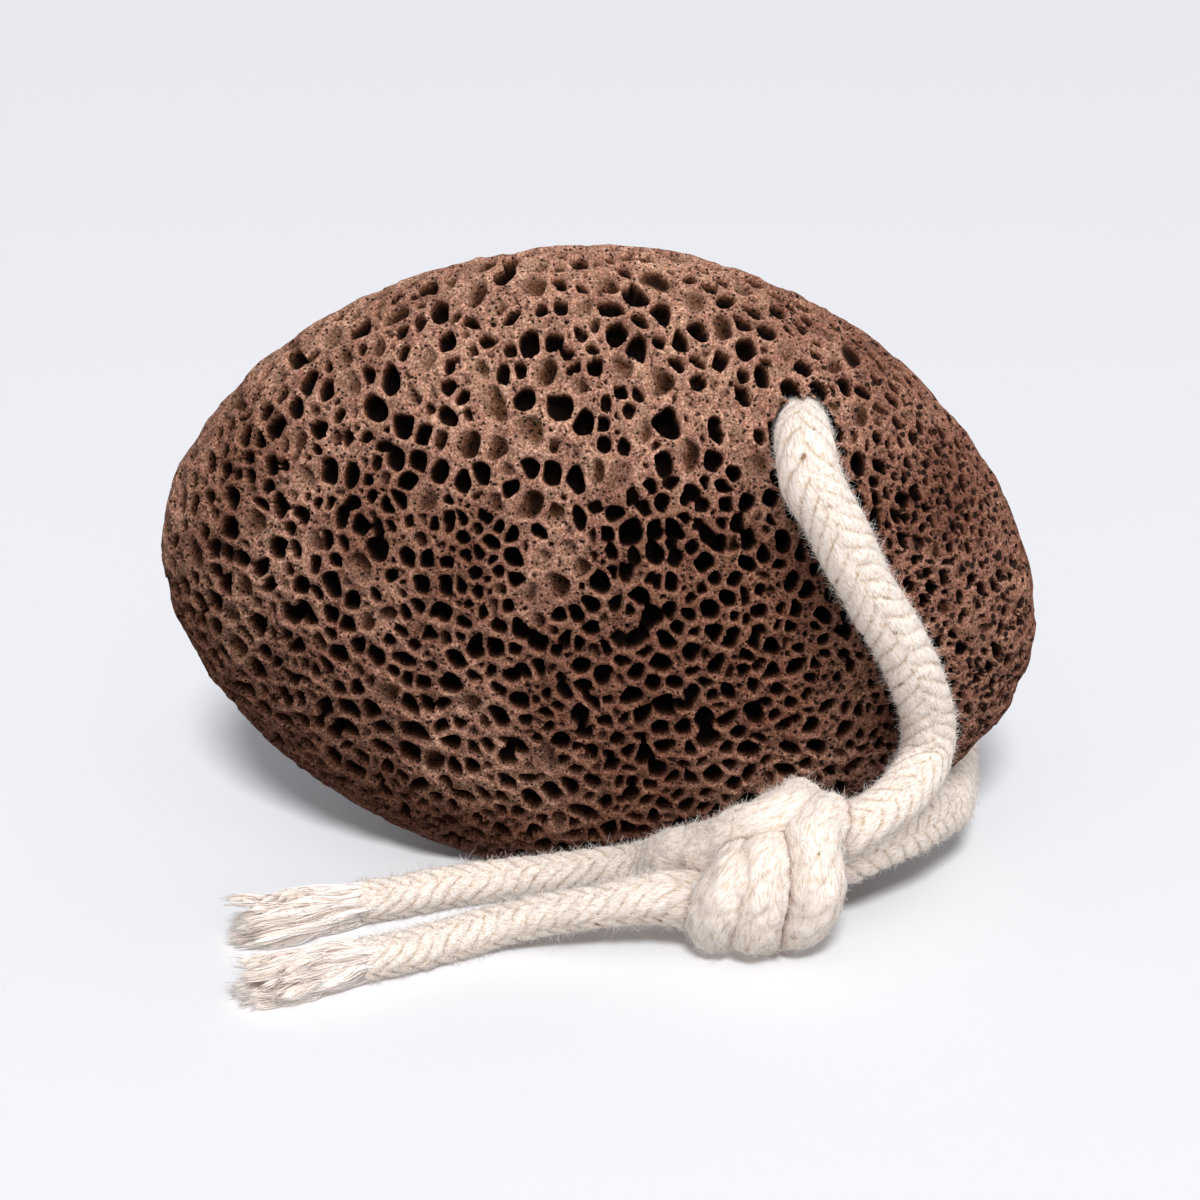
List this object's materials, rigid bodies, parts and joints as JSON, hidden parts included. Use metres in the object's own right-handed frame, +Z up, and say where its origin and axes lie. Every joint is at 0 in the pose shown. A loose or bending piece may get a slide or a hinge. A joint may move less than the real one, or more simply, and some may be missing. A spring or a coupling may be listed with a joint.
{
  "type": "pumice stone",
  "caption": "Oval brown pumice foot stone, full of bubble pits, standing on a long edge, with a braided cotton cord knotted through its drilled hole and frayed at its ends.",
  "frame": {"origin": "middle of the stone's bounding box, on the surface it stands on; the cord is left out of that box", "axes": "+X along the stone, towards its finely pored end; +Y through its thickness, away from the knot; +Z up"},
  "size_m": [0.0994, 0.0666, 0.0726],
  "materials": {
    "stone": "matte",
    "cord": "matte"
  },
  "bodies": {
    "root": {"pumice_stone": "stone", "cord_front_strand": "cord", "cord_back_strand": "cord", "cord_knot": "cord", "cord_tail_upper": "cord", "cord_tail_lower": "cord"}
  },
  "joints": []
}
